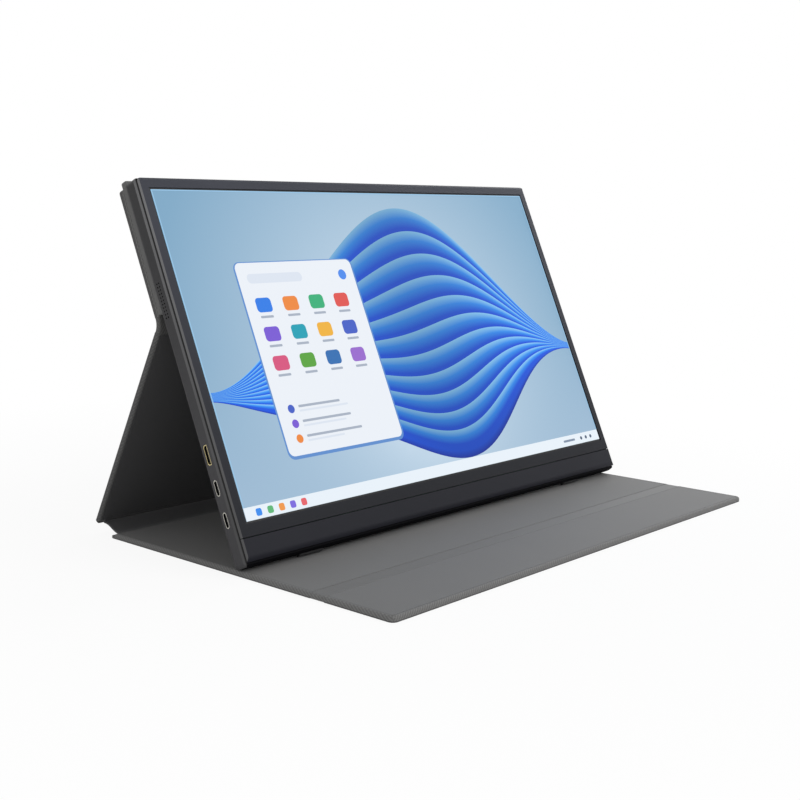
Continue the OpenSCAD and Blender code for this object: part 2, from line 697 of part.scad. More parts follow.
module upper_skin() color("#434345") on_upper() {
    panel_skin(concat(free_end(upper_h, 1), reversed(fold_end(crease_half, -1))),
               crease_half, upper_h, crease_half, upper_h, 0.01, panel_corner_r);
    crease_tongue(crease_half, 0);
}
module upper_board() color("#8d8778") on_upper() panel_board_solid(crease_half, upper_h);
module upper_lining() color("#39383a") on_upper() panel_lining(crease_half, upper_h);

pad_inset = 0.3;
plate_t = 0.6;
plate_inset = 14;
module pad_area(inset, r, z0, z1) {
    x1 = cover_w / 2 - pad_inset - inset;
    translate([0, 0, z0]) linear_extrude(z1 - z0)
        rounded_rect([-x1, crease_half + pad_inset + inset], [x1, upper_h + pad_over - inset], 0.01, r);
}
module mount_pad() color("#39383a") on_upper() difference() {
    pad_area(0, panel_corner_r, panel_t, panel_t + pad_t);
    pad_area(plate_inset, 0.01, panel_t - 1, panel_t + plate_t);
}
module steel_plate() color("#b6b8bb") on_upper() pad_area(plate_inset, 0.01, panel_t, panel_t + plate_t);

rear_housing();
front_frame();
chin_bar();
lcd_cell();
optical_sheets();
light_guide();
led_strip();
backlight_tray();
panel_board();
display_cable();
main_board();
board_screws();
hdmi_socket();
usb_c_socket_upper();
usb_c_socket_lower();
headphone_jack();
button_board();
power_button();
menu_rocker();
speaker_left();
speaker_right();
housing_magnets();
rubber_feet();
upper_skin();
upper_board();
upper_lining();
mount_pad();
steel_plate();
leg_skin();
leg_board();
leg_lining();
back_crease();
spine_skin();
spine_lining();
base_skin();
base_board();
base_lining();
flap_crease();
flap_skin();
flap_board();
flap_lining();
flap_magnets();
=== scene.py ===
"""Dresses a portable monitor on its folding cover: leather, moulded plastic, a lit screen and a studio."""
import json
import math

import bmesh
import bpy
from bpy.props import FloatProperty, FloatVectorProperty, IntProperty, PointerProperty
from mathutils import Matrix, Vector


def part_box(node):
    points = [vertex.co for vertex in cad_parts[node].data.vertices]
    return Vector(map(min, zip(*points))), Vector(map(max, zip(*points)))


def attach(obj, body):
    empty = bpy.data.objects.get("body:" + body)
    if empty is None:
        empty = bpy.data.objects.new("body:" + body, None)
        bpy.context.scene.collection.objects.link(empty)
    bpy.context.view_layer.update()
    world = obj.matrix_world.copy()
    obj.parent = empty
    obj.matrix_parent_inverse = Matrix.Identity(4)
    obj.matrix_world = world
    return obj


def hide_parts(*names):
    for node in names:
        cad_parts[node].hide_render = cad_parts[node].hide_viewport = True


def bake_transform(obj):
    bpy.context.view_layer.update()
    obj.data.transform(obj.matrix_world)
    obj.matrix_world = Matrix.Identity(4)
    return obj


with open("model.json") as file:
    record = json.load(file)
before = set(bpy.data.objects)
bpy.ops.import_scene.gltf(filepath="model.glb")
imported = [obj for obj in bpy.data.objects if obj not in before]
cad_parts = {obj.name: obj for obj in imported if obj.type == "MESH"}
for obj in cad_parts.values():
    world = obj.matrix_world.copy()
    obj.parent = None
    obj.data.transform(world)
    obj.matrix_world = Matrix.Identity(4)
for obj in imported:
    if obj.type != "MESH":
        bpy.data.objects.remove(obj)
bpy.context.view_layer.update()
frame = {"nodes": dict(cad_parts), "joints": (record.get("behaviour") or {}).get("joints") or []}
HINGE = {joint["name"]: Vector(joint["pos_m"]) for joint in frame["joints"]}

bl_info = {
    "name": "Portable Monitor with Folding Cover",
    "version": (1, 0, 0),
    "blender": (4, 5, 0),
    "location": "3D View > Sidebar > Monitor",
    "description": "Builds the looks of a portable monitor that leans on its folding cover",
    "category": "Object",
}

MM = 0.001
CLOSE = 1e-6  # points nearer than this lie in one place
HAIR = 0.01 * MM  # faces nearer than this lie in one plane
SHARP = math.radians(40)  # edges that bend more than this look sharp
CORNER = 0.8  # edges that bend more than this, in radians, are corners

# how far a face's unit normal reaches along an axis
LEVEL, FACING, LEANING, HALFWAY, SIDE = 0.99, 0.9, 0.7, 0.5, 0.3

# the glass and its picture
CELL_OVER = 3 * MM  # glass outside the lit area
CELL_T = 1.3 * MM  # thickness of the glass
LAYER = 0.006 * MM  # from one flat shape of the picture to the next
PICTURE_GAP = 0.03 * MM  # from the glass to the picture

# the monitor's body
SOCKET_RIM = 0.3 * MM  # how far in a socket's rim shines; farther in, the metal is painted black as shade
GROOVE = (0.05 * MM, 1.85 * MM)  # depths behind the glass between which painted shade of the seam darkens the bevel
SEAM_FLOOR = 1.35 * MM  # depth of the seam's floor, painted as shade
LEDGE = 1.9 * MM  # from the top down to the ledge behind the frame's upper edge, painted as shade
ROLL = (4.5 * MM, 8 * MM)  # height and depth of the roll under the chin, painted as shade
WALL = 4 * MM  # reach of the bevel's painted highlight behind the glass, and of the painted shade along the back's sides

# the panels of the cover
LEATHER, LINING, EDGE = 0, 1, 2  # their materials, in this order
RIM_ROUND, FOOT_ROUND = 1.6 * MM, 0.45 * MM  # rounding of an edge at the lining and at the leather
TURN_LINE, UPPER_TURN = 0.8 * MM, 2.4 * MM  # height at which leather meets lining on an edge
SEAM_IN, SEAM_DEPTH = 0.5 * MM, 0.15 * MM  # the pressed seam: from the rounding, and into the lining
LINE_IN, LINE_HALF, LINE_DEPTH = 2.0 * MM, 0.35 * MM, 0.4 * MM  # the pressed line along the flap's front
BASE_CORNER, FLAP_CORNER, LEG_CORNER, UPPER_CORNER = 2.4 * MM, 3.6 * MM, 3 * MM, 2.2 * MM
PAD_CORNER, PAD_ROUND = 1.3 * MM, 0.8 * MM
BASE_REACH = 2 * MM  # how far the base runs on under the spine strip
LIP_DROP = 1.0 * MM  # from the middle of the spine strip down to a panel's thin end
LIP_GAP, LIP_LENGTH = 0.3 * MM, 1.4 * MM  # from the base's step to the strip, and the leg's thin end
STEP_RUN = 0.15 * MM  # length of the slope at such a step

# the soft folds
FOLD_IN = 0.1 * MM  # how much farther in than the panels' their long edges lie
FOLD_FOOT = 0.4 * MM  # rounding of those edges on the leather side
FRONT_TAIL, REAR_TAIL = 0.3 * MM, 0.5 * MM  # how far their ends run into the panels
FRONT_BEND, REAR_BEND = 0.9 * MM, 1.2 * MM  # half the length that bends at each end of the spine strip
SPINE_OVER, SPINE_UP = 1.8 * MM, 2.0 * MM  # how far that strip lies on the base, and runs up the leg


# ---------------- settings

def length(name, description, default, low, high):
    return FloatProperty(name=name, description=description, default=default, min=low, max=high,
                         unit="LENGTH", subtype="DISTANCE")


def colour(name, description, default):
    return FloatVectorProperty(name=name, description=description, default=default, min=0, max=1,
                               size=3, subtype="COLOR")


def power(name, description, default):
    return FloatProperty(name=name, description=description, default=default, min=0, max=100, unit="POWER")


class ScreenSettings(bpy.types.PropertyGroup):
    """Sizes and colours of the lit screen."""
    width: length("Lit width", "Width of the lit area", 0.3442, 0.2, 0.5)
    height: length("Lit height", "Height of the lit area", 0.1936, 0.1, 0.3)
    recline: FloatProperty(name="Recline", description="How far the screen leans back from upright",
                           default=math.radians(24), unit="ROTATION", subtype="ANGLE")
    glow: FloatProperty(name="Glow", description="Brightness of the lit picture", default=0.96, min=0, max=2)
    ribbons: IntProperty(name="Ribbons", description="Number of folds in the drawn wave", default=11,
                         min=3, max=30)
    sky_edge: colour("Sky edge", "Colour of the picture's corners", (0.212, 0.397, 0.571))
    sky_middle: colour("Sky middle", "Colour of the picture's middle", (0.539, 0.685, 0.823))


class CoverSettings(bpy.types.PropertyGroup):
    """Sizes and colours of the folding cover."""
    thickness: length("Panel thickness", "Thickness of a stiff panel", 0.0034, 0.001, 0.01)
    fold_thickness: length("Spine thickness", "Thickness of the spine strip", 0.0014, 0.0005, 0.004)
    soft_fold: length("Soft fold thickness", "Thickness of the folds at the flap and the leg",
                      0.0031, 0.0005, 0.004)
    fold_width: length("Fold width", "Width of a soft fold", 0.010, 0.002, 0.03)
    seam: length("Seam", "Width of the pressed seam round the lining", 0.0003, 0.0001, 0.001)
    leather: colour("Leather", "Colour of the outer leather", (0.066, 0.065, 0.065))
    lining: colour("Lining", "Colour of the soft lining", (0.120, 0.1195, 0.118))
    # the wrapped edge is lighter than the lining: a painted highlight where it catches the light; its stripes
    # are the cloth's grain
    edge: colour("Turned edge", "Colour of the lining where it wraps a panel's edge", (0.142, 0.141, 0.139))
    stripe: length("Edge stripes", "Spacing of the stripes on the wrapped edges", 0.0015, 0.0002, 0.005)
    # the leg lining is darker than the lining: painted shade on the leg and the spine
    shaded: colour("Leg lining", "Colour of the lining on the leg and the spine", (0.060, 0.060, 0.062))
    weave: length("Weave", "Spacing of the fine diagonal grain", 0.0011, 0.0002, 0.003)


class BodySettings(bpy.types.PropertyGroup):
    """Colours of the monitor's body."""
    housing: colour("Housing", "Colour of the rear housing", (0.045, 0.044, 0.048))
    # the bevel is lighter than the housing: a painted highlight where it catches the light
    bevel: colour("Bevel", "Colour of the bevel in front of the side walls", (0.140, 0.140, 0.145))
    bezel: colour("Bezel", "Colour of the front frame", (0.042, 0.045, 0.058))
    chin: colour("Chin", "Colour of the bar under the screen", (0.014, 0.0145, 0.020))


class StudioSettings(bpy.types.PropertyGroup):
    """Camera and lights."""
    lens: FloatProperty(name="Lens", description="Focal length of the camera", default=57.043,
                        min=20, max=200, unit="CAMERA")
    key: power("Key light", "Power of the large lamp in front", 16.0)
    fill: power("Fill light", "Power of the lamp on the right", 2.2)
    side: power("Side light", "Power of the low lamp on the left", 1.8)
    ambient: FloatProperty(name="Ambient", description="Strength of the light from all round", default=0.5,
                           min=0, max=2)


SETTINGS = {"screen": ScreenSettings, "cover": CoverSettings, "body": BodySettings, "studio": StudioSettings}


def settings(name):
    return getattr(bpy.context.scene, "monitor_" + name)


# ---------------- places

def screen_matrix():
    """The screen's own place: x across, y behind the glass, z up the lit area."""
    low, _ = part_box("lcd_cell")
    lean = settings("screen").recline
    s, c = math.sin(lean), math.cos(lean)
    origin = Vector((0, low.y + CELL_OVER * s, low.z + CELL_OVER * c + CELL_T * s))
    return Matrix.Translation(origin) @ Matrix.Rotation(-lean, 4, "X")


def upper_matrix():
    """The upper panel's place: y up the panel from the rear fold, z from the leather to the lining."""
    turned = Matrix.Rotation(math.pi / 2 - settings("screen").recline, 4, "X")
    sunk = Matrix.Translation((0, 0, -settings("cover").thickness / 2))
    return Matrix.Translation(HINGE["back_fold"]) @ turned @ sunk


def leg_facts():
    """The leg panel's slope, and the height of the fold at its foot above the leather."""
    rise = HINGE["spine_fold"].z
    span = HINGE["back_fold"] - HINGE["leg_fold"]
    skew = math.asin((rise - settings("cover").thickness / 2) / span.length)
    return math.atan2(span.z, span.y) + skew, rise


def leg_matrix():
    """The leg panel's place: y up the panel from the spine strip, z from the leather to the lining."""
    angle, rise = leg_facts()
    turned = Matrix.Rotation(angle, 4, "X")
    return Matrix.Translation(HINGE["leg_fold"]) @ turned @ Matrix.Translation((0, 0, -rise))


def local_box(node, place):
    """The lowest and highest corner of a CAD piece, seen from another place."""
    back = place.inverted()
    points = [back @ vert.co for vert in frame["nodes"][node].data.vertices]
    return [Vector([pick(point[i] for point in points) for i in range(3)]) for pick in (min, max)]


# ---------------- mesh tools

def edges_at(bm, test):
    """The edges whose middle passes the test."""
    return [e for e in bm.edges if test((e.verts[0].co + e.verts[1].co) / 2)]


def upright(edge, least):
    return abs(edge.verts[0].co.z - edge.verts[1].co.z) > least


def corners_of(edges):
    """Those of the edges at which the surface bends sharply."""
    return [e for e in edges if e.calc_face_angle(0) > CORNER]


def soften(bm, edges, width, segments):
    bmesh.ops.bevel(bm, geom=edges, offset=width, offset_type="OFFSET", segments=segments, profile=0.5,
                    affect="EDGES", clamp_overlap=True, material=-1)
    bm.normal_update()


def round_corners(bm, corners, radius, segments):
    """Rounds the corners of flat shapes."""
    return bmesh.ops.bevel(bm, geom=corners, offset=radius, offset_type="OFFSET", segments=segments,
                           profile=0.5, affect="VERTICES", clamp_overlap=True, material=-1)["verts"]


def block(bm, low, high):
    """A box from its lowest to its highest corner."""
    low, high = Vector(low), Vector(high)
    made = bmesh.ops.create_cube(bm, size=1)["verts"]
    bmesh.ops.scale(bm, vec=high - low, verts=made)
    bmesh.ops.translate(bm, vec=(low + high) / 2, verts=made)


def split(bm, axis, *places):
    """Cuts the whole mesh by planes across one axis."""
    for place in places:
        point, normal = Vector((0, 0, 0)), Vector((0, 0, 0))
        point[axis], normal[axis] = place, 1
        bmesh.ops.bisect_plane(bm, geom=bm.verts[:] + bm.edges[:] + bm.faces[:], plane_co=point,
                               plane_no=normal, dist=1e-7)


def lay_flat_map(bm):
    """A map in metres that follows the panel, for the weave."""
    layer = bm.loops.layers.uv.new("flat")
    for face in bm.faces:
        sideways = abs(face.normal.z) < LEANING and abs(face.normal.y) <= LEANING
        for loop in face.loops:
            x, y, z = loop.vert.co
            loop[layer].uv = (z, y) if sideways else (x, y + z)


def finish_piece(bm, name, materials, place=Matrix.Identity(4), level=False):
    """Makes the object, with its place in its mesh. level: shade its large faces as flat."""
    bmesh.ops.transform(bm, matrix=place, verts=bm.verts)
    mesh = bpy.data.meshes.new(name)
    bm.to_mesh(mesh)
    bm.free()
    for material in materials:
        mesh.materials.append(material)
    mesh.shade_smooth()
    mesh.set_sharp_from_angle(angle=SHARP)
    piece = bpy.data.objects.new(name, mesh)
    bpy.context.scene.collection.objects.link(piece)
    if level:
        piece.modifiers.new("Even normals", "WEIGHTED_NORMAL").keep_sharp = True
    return piece


# ---------------- finishes

def shader(name, base, roughness, **sockets):
    """A new material with its even values on the shader's own sockets."""
    found = bpy.data.materials.get(name)
    if found:
        return found, None, None
    material = bpy.data.materials.new(name)
    material.use_nodes = True
    tree = material.node_tree
    principled = tree.nodes["Principled BSDF"]
    principled.inputs["Base Color"].default_value = (*base, 1)
    principled.inputs["Roughness"].default_value = roughness
    for socket, value in sockets.items():
        principled.inputs[socket.replace("_", " ")].default_value = value
    return material, tree, principled


def add(tree, kind, inputs, **traits):
    """A new node with its traits, and with each of its inputs set or linked."""
    node = tree.nodes.new("ShaderNode" + kind)
    for trait, value in traits.items():
        setattr(node, trait, value)
    for socket, value in inputs.items():
        if isinstance(value, bpy.types.NodeSocket):
            tree.links.new(value, node.inputs[socket])
        else:
            node.inputs[socket].default_value = value
    return node


def place_of(tree, uv=None):
    """The coordinates that a pattern follows: the piece's own map, or the object's."""
    if uv:
        return add(tree, "UVMap", {}, uv_map=uv).outputs["UV"]
    return add(tree, "TexCoord", {}).outputs["Object"]


def noise(tree, place, scale, detail=2.0, rough=0.5):
    node = add(tree, "TexNoise", {"Vector": place, "Scale": scale, "Detail": detail, "Roughness": rough})
    return node.outputs["Fac"]


def band(tree, place, spacing, turn):
    """Fine parallel ridges, turned in the plane of the map."""
    turned = add(tree, "Mapping", {"Vector": place, "Rotation": (0, 0, turn)}).outputs["Vector"]
    wave = add(tree, "TexWave", {"Vector": turned, "Scale": 2 * math.pi / (20 * spacing), "Distortion": 0.6,
                                 "Detail": 1, "Detail Scale": 2}, bands_direction="X")
    return wave.outputs["Fac"]


def combine(tree, kind, a, b):
    return add(tree, "Math", {0: a, 1: b}, operation=kind).outputs["Value"]


def add_up(tree, first, share, second, other):
    """Two patterns added, each with its share."""
    return combine(tree, "ADD", combine(tree, "MULTIPLY", first, share),
                   combine(tree, "MULTIPLY", second, other))


def tint(tree, principled, height, base, spread, low=0.3, high=0.7):
    """Varies the base colour a little about its own value, between two tones, which it returns."""
    ramp = add(tree, "ValToRGB", {"Fac": height})
    tones = ramp.color_ramp.elements
    tones[0].position = low
    tones[1].position = high
    tones[0].color = (*[c * (1 - spread) for c in base], 1)
    tones[1].color = (*[min(1, c * (1 + spread)) for c in base], 1)
    tree.links.new(ramp.outputs["Color"], principled.inputs["Base Color"])
    return tones


def emboss(tree, principled, height, distance, strength=1.0):
    bump = add(tree, "Bump", {"Height": height, "Distance": distance, "Strength": strength})
    tree.links.new(bump.outputs["Normal"], principled.inputs["Normal"])


def remap(tree, value, low, high, start=0.0, end=1.0):
    """Carries a value that runs from start to end over to low and high."""
    node = add(tree, "MapRange", {"Value": value, "From Min": start, "From Max": end,
                                  "To Min": low, "To Max": high})
    return node.outputs["Result"]


def vary(tree, socket, height, low, high):
    tree.links.new(remap(tree, height, low, high), socket)


def coordinate(tree, place, axis):
    return add(tree, "SeparateXYZ", {"Vector": place}).outputs[axis]


def scale_tone(tree, principled, share):
    """Multiplies the base colour by a share."""
    socket = principled.inputs["Base Color"]
    scale = add(tree, "VectorMath", {0: socket.links[0].from_socket, "Scale": share}, operation="SCALE")
    tree.links.new(scale.outputs["Vector"], socket)


def shade_groove(tree, principled, place, start, end, dark=0.97):
    """Painted shade of the seam: takes most of the colour away between two depths behind the glass."""
    inward = screen_matrix().col[1].to_3d()
    depth = add(tree, "VectorMath", {0: place, 1: inward}, operation="DOT_PRODUCT").outputs["Value"]
    behind = combine(tree, "SUBTRACT", depth, inward.dot(screen_matrix().translation))
    between = combine(tree, "MULTIPLY", combine(tree, "GREATER_THAN", behind, start),
                      combine(tree, "LESS_THAN", behind, end))
    scale_tone(tree, principled, combine(tree, "SUBTRACT", 1, combine(tree, "MULTIPLY", between, dark)))


def moulded_plastic(name, base, roughness=0.5, rise=None, gloss=0.4, groove=None):
    """Spark-eroded plastic: a fine even grain, faint clouds of tone and of gloss.
    rise: two heights above the table, and the share of the colour at each: painted shade that darkens the
    colour towards one height.
    groove: the two depths behind the glass between which painted shade of the seam lies."""
    material, tree, principled = shader(name, base, roughness, Specular_IOR_Level=gloss)
    if tree:
        place = place_of(tree)
        fine = noise(tree, place, 1.0 / (0.9 * MM), 3, 0.6)
        tint(tree, principled, noise(tree, place, 18, 2), base, 0.07)
        if rise:
            start, end, low, high = rise
            share = remap(tree, coordinate(tree, place, "Z"), low, high, start, end)
            scale_tone(tree, principled, share)
        if groove:
            shade_groove(tree, principled, place, *groove)
        vary(tree, principled.inputs["Roughness"], fine, roughness - 0.08, roughness + 0.08)
        emboss(tree, principled, fine, 0.02 * MM, 0.6)
    return material


def cloth(name, base, roughness):
    """The start of a coated cloth: its shader, its map and its pores."""
    material, tree, principled = shader(name, base, roughness, Specular_IOR_Level=0.3, Sheen_Weight=0.12,
                                        Sheen_Roughness=0.5)
    if not tree:
        return material, None, None, None, None
    flat = place_of(tree, "flat")
    pores = noise(tree, flat, 1.0 / (0.8 * MM), 3, 0.7)
    vary(tree, principled.inputs["Roughness"], pores, roughness - 0.06, roughness + 0.08)
    return material, tree, principled, flat, pores


def woven_leather(name, base, roughness, spread=0.06, depth=0.03):
    """Coated cloth with a fine diagonal weave, soft sheen and slow changes of tone."""
    material, tree, principled, flat, pores = cloth(name, base, roughness)
    if tree:
        spacing = settings("cover").weave
        weave = combine(tree, "MULTIPLY", band(tree, flat, spacing, math.radians(35)),
                        band(tree, flat, spacing * 1.3, math.radians(-50)))
        height = combine(tree, "ADD", weave, pores)
        speckle = add_up(tree, weave, 0.3, pores, 0.3)
        tone = combine(tree, "ADD", combine(tree, "MULTIPLY", noise(tree, flat, 14, 3, 0.6), 0.5), speckle)
        tint(tree, principled, tone, base, spread, 0.35, 0.65)
        emboss(tree, principled, height, depth * MM, 0.7)
    return material


def striped_edge(name, base, roughness):
    """The lining where it is stretched round an edge: its grain shows as fine slanting stripes."""
    material, tree, principled, flat, pores = cloth(name, base, roughness)
    if tree:
        stripes = band(tree, flat, settings("cover").stripe, math.radians(35))
        tint(tree, principled, add_up(tree, stripes, 0.7, pores, 0.3), base, 0.2, 0.2, 0.8)
        emboss(tree, principled, stripes, 0.06 * MM, 0.8)
    return material


def brushed_metal(name, base):
    material, tree, principled = shader(name, base, 0.35, Metallic=1.0)
    if tree:
        place = place_of(tree)
        streak = noise(tree, place, 1.0 / (0.25 * MM), 2)
        tint(tree, principled, noise(tree, place, 60, 2), base, 0.1)
        vary(tree, principled.inputs["Roughness"], streak, 0.25, 0.47)
        emboss(tree, principled, streak, 0.004 * MM, 0.5)
    return material


def socket_metal(name, base, rim):
    """A plated shell whose rim shines; farther in than the rim it is painted black and not metallic, as shade
    inside the socket.
    """
    material, tree, principled = shader(name, base, 0.3, Metallic=1.0)
    if tree:
        place = place_of(tree)
        # painted shade: farther in than the rim the shell turns black and not metallic
        inside = combine(tree, "GREATER_THAN", coordinate(tree, place, "X"), rim)
        tint(tree, principled, inside, base, 0, 0, 1)[1].color = (0.004, 0.004, 0.004, 1)
        vary(tree, principled.inputs["Roughness"], noise(tree, place, 2500, 2), 0.22, 0.38)
        vary(tree, principled.inputs["Metallic"], combine(tree, "SUBTRACT", 1, inside), 0, 1)
    return material


def circuit_lacquer(name, base):
    material, tree, principled = shader(name, base, 0.35, Coat_Weight=0.3)
    if tree:
        place = place_of(tree)
        tint(tree, principled, noise(tree, place, 400, 3), base, 0.35)
        emboss(tree, principled, noise(tree, place, 900, 2), 0.03 * MM)
    return material


def soft_rubber(name, base):
    material, tree, principled = shader(name, base, 0.8, Specular_IOR_Level=0.25)
    if tree:
        place = place_of(tree)
        fine = noise(tree, place, 1500, 3)
        tint(tree, principled, fine, base, 0.2)
        emboss(tree, principled, fine, 0.03 * MM)
    return material


def display_glass(name, base):
    """Black edge of the glass, matt against glare."""
    material, tree, principled = shader(name, base, 0.32, Specular_IOR_Level=0.3)
    if tree:
        fine = noise(tree, place_of(tree), 3000, 2)
        tint(tree, principled, fine, base, 0.15)
        emboss(tree, principled, fine, 0.003 * MM, 0.4)
    return material


def lit_picture(name):
    """The picture's own tones shine out; the matt surface itself is black."""
    material, tree, principled = shader(name, (0.004, 0.004, 0.005), 0.4, Specular_IOR_Level=0.12,
                                        Emission_Strength=settings("screen").glow)
    if tree:
        tone = add(tree, "Attribute", {}, attribute_name="tone").outputs["Color"]
        tree.links.new(tone, principled.inputs["Emission Color"])
    return material


# ---------------- screen

def mix(a, b, t):
    t = max(0.0, min(1.0, t))
    return tuple(x + (y - x) * t for x, y in zip(a, b))


def tone_of(code):
    """A colour written as in a paint program, as light."""
    channels = [int(code[i:i + 2], 16) / 255 for i in (0, 2, 4)]
    return tuple(c / 12.92 if c <= 0.04045 else ((c + 0.055) / 1.055) ** 2.4 for c in channels)


class Canvas:
    """Flat shapes laid over each other in the screen's plane, each a hair in front of the last."""

    def __init__(self, width, height):
        self.bm = bmesh.new()
        self.tone = self.bm.verts.layers.float_color.new("tone")
        self.width, self.height, self.layer = width, height, 0

    def lay(self, verts, tone):
        """Sets the next layer's height and its tone: a code, a colour or a function of the place."""
        self.layer += 1
        if isinstance(tone, str):
            tone = tone_of(tone)
        for vert in verts:
            vert.co.z = self.layer * LAYER
            vert[self.tone] = (*(tone(vert.co.x, vert.co.y) if callable(tone) else tone), 1)

    def grid(self, x, y, width, height, columns=1, rows=1):
        made = bmesh.ops.create_grid(self.bm, x_segments=columns, y_segments=rows, size=0.5)["verts"]
        bmesh.ops.scale(self.bm, vec=(width, height, 1), verts=made)
        bmesh.ops.translate(self.bm, vec=(x + width / 2, y + height / 2, 0), verts=made)
        return made

    def card(self, x, y, width, height, radius, tone):
        made = self.grid(x, y, width, height)
        if radius:
            made = round_corners(self.bm, made, radius, 6)
            made = list({v for vert in made for face in vert.link_faces for v in face.verts})
        self.lay(made, tone)

    def disc(self, x, y, radius, tone):
        made = bmesh.ops.create_circle(self.bm, cap_ends=True, segments=28, radius=radius)["verts"]
        bmesh.ops.translate(self.bm, vec=(x, y, 0), verts=made)
        self.lay(made, tone)

    def sky(self, edge, middle, foot):
        """A clear middle, from which the tone runs out to the edges and to the foot's corners."""
        def tone(x, y):
            far = math.hypot(x - self.width / 2, y - 70 * MM) / (190 * MM)
            out = max(0.0, min(1.0, (far - 0.3) / 0.75)) ** 0.8
            low = 0.8 * out * max(0.0, 1 - y / (95 * MM))
            return mix(mix(middle, edge, out), foot, low)
        self.lay(self.grid(0, 0, self.width, self.height, 48, 28), tone)

    def ribbon(self, lower, upper, tones):
        """A strip between two curves over the whole width; tones run from its lower to its upper edge."""
        made = bmesh.ops.create_grid(self.bm, x_segments=90, y_segments=8, size=0.5)["verts"]
        self.layer += 1
        for vert in made:
            along, across = vert.co.x + 0.5, vert.co.y + 0.5
            low, high = lower(along), upper(along)
            vert.co = (along * self.width, (low + (high - low) * across) * self.height, self.layer * LAYER)
            place = across * (len(tones) - 1)
            i = min(int(place), len(tones) - 2)
            shade = mix(tones[i], tones[i + 1], place - i)
            dim = 0.82 + 0.18 * math.sin(2.4 * math.pi * along + across)
            vert[self.tone] = (*[c * dim for c in shade], 1)


def wave_curve(share):
    """One line of the drawn wave: share runs from 0 at its foot to 1 at its crest."""
    def curve(s):
        middle = 0.46 + 0.10 * math.sin(2 * math.pi * (0.95 * s - 0.30))
        swell = 0.012 + 0.40 * max(0.0, math.sin(math.pi * s)) ** 1.7
        lean = 0.30 * math.sin(2 * math.pi * (1.1 * s + 0.35 * share))
        return middle + swell * (2 * share - 1 + lean * (1 - 0.4 * share))
    return curve


def draw_picture(canvas):
    screen = settings("screen")
    canvas.sky(tuple(screen.sky_edge), tuple(screen.sky_middle), tone_of("aac3da"))
    deep, blue, bright, crest = tone_of("0634b4"), tone_of("0b57e6"), tone_of("2f93f7"), tone_of("8fd0fb")
    count = screen.ribbons
    for i in range(count):
        share = 1 - i / count
        canvas.ribbon(wave_curve(share - 1.7 / count), wave_curve(share), [deep, blue, blue, bright, crest])
    white, grey, pale = "eef3fa", "aab4c4", "dfe7f3"
    # a board of tiles on the left
    left, low, width, height = 44 * MM, 30 * MM, 96 * MM, 118 * MM
    canvas.card(left - 1.2 * MM, low - 2 * MM, width + 2.4 * MM, height + 2.6 * MM, 5 * MM, "5f8fd0")
    canvas.card(left, low, width, height, 4 * MM, white)
    canvas.card(left + 7 * MM, low + height - 13 * MM, 44 * MM, 6 * MM, 3 * MM, pale)
    canvas.disc(left + width - 10 * MM, low + height - 10 * MM, 3.4 * MM, "4d8df0")
    colours = ["2b7de9", "f08a3c", "37b27a", "e2554f", "7a5ad6", "17a2b8",
               "f2b53a", "4460c8", "d9557f", "5aa53c", "2f6fb4", "9a6bd0"]
    for i, code in enumerate(colours):
        column, row = i % 4, i // 4
        x = left + (8 + column * 21.5) * MM
        y = low + height - (31 + row * 18) * MM
        canvas.card(x, y, 12 * MM, 9 * MM, 2.4 * MM, code)
        canvas.card(x + 1 * MM, y - 3.6 * MM, 10 * MM, 1.5 * MM, 0.6 * MM, grey)
    for row in range(3):
        y = low + (8 + row * 9) * MM
        canvas.disc(left + 11 * MM, y + 1.6 * MM, 2.6 * MM, colours[row * 3 + 1])
        canvas.card(left + 17 * MM, y + 1.8 * MM, (46 - row * 6) * MM, 1.5 * MM, 0.7 * MM, grey)
        canvas.card(left + 17 * MM, y - 0.8 * MM, (30 + row * 5) * MM, 1.2 * MM, 0.5 * MM, pale)
    # a light bar along the foot, with tiles at its left end
    bar = 7.4 * MM
    canvas.card(0, 0, canvas.width, bar, 0, "ebf4fc")
    for i, code in enumerate(["3a8ef0", "5fb878", "f29a4a", "7c6be0", "e8646a"]):
        canvas.card((8 + i * 8.5) * MM, bar / 2 - 2.1 * MM, 4.2 * MM, 4.2 * MM, 1.2 * MM, code)
    for i in range(3):
        canvas.disc(canvas.width - (10 + 6 * i) * MM, bar / 2, 1.3 * MM, "52627a")
    canvas.card(canvas.width - 44 * MM, bar / 2 - 0.8 * MM, 14 * MM, 1.6 * MM, 0.8 * MM, "8090a6")
    # a painted glint: a light line along the picture's top and sides where the glass edge catches the light
    line, painted_glint = 0.7 * MM, "9ac7e8"
    canvas.card(0, canvas.height - line, canvas.width, line, 0, painted_glint)
    for x in (0, canvas.width - line):
        canvas.card(x, bar, line, canvas.height - bar, 0, painted_glint)


class MONITOR_OT_screen_picture(bpy.types.Operator):
    """Draw the lit picture just in front of the glass"""
    bl_idname = "monitor.screen_picture"
    bl_label = "Screen Picture"

    def execute(self, context):
        screen = settings("screen")
        canvas = Canvas(screen.width, screen.height)
        draw_picture(canvas)
        shift = Matrix.Translation((-screen.width / 2, -PICTURE_GAP, 0))
        place = screen_matrix() @ (shift @ Matrix.Rotation(math.pi / 2, 4, "X"))
        piece = finish_piece(canvas.bm, "screen_picture", [lit_picture("Lit picture")], place)
        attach(piece, "monitor")
        return {"FINISHED"}


# ---------------- cover

def press_seam(bm, top):
    """Presses a fine seam round the lining side."""
    half = settings("cover").seam / 2
    faces = [f for f in bm.faces if f.normal.z > LEVEL and f.calc_center_median().z > top - HAIR]
    for width, depth in ((SEAM_IN, 0), (half, -SEAM_DEPTH), (half, SEAM_DEPTH * 0.9)):
        bmesh.ops.inset_region(bm, faces=faces, thickness=width, depth=depth, use_even_offset=True)


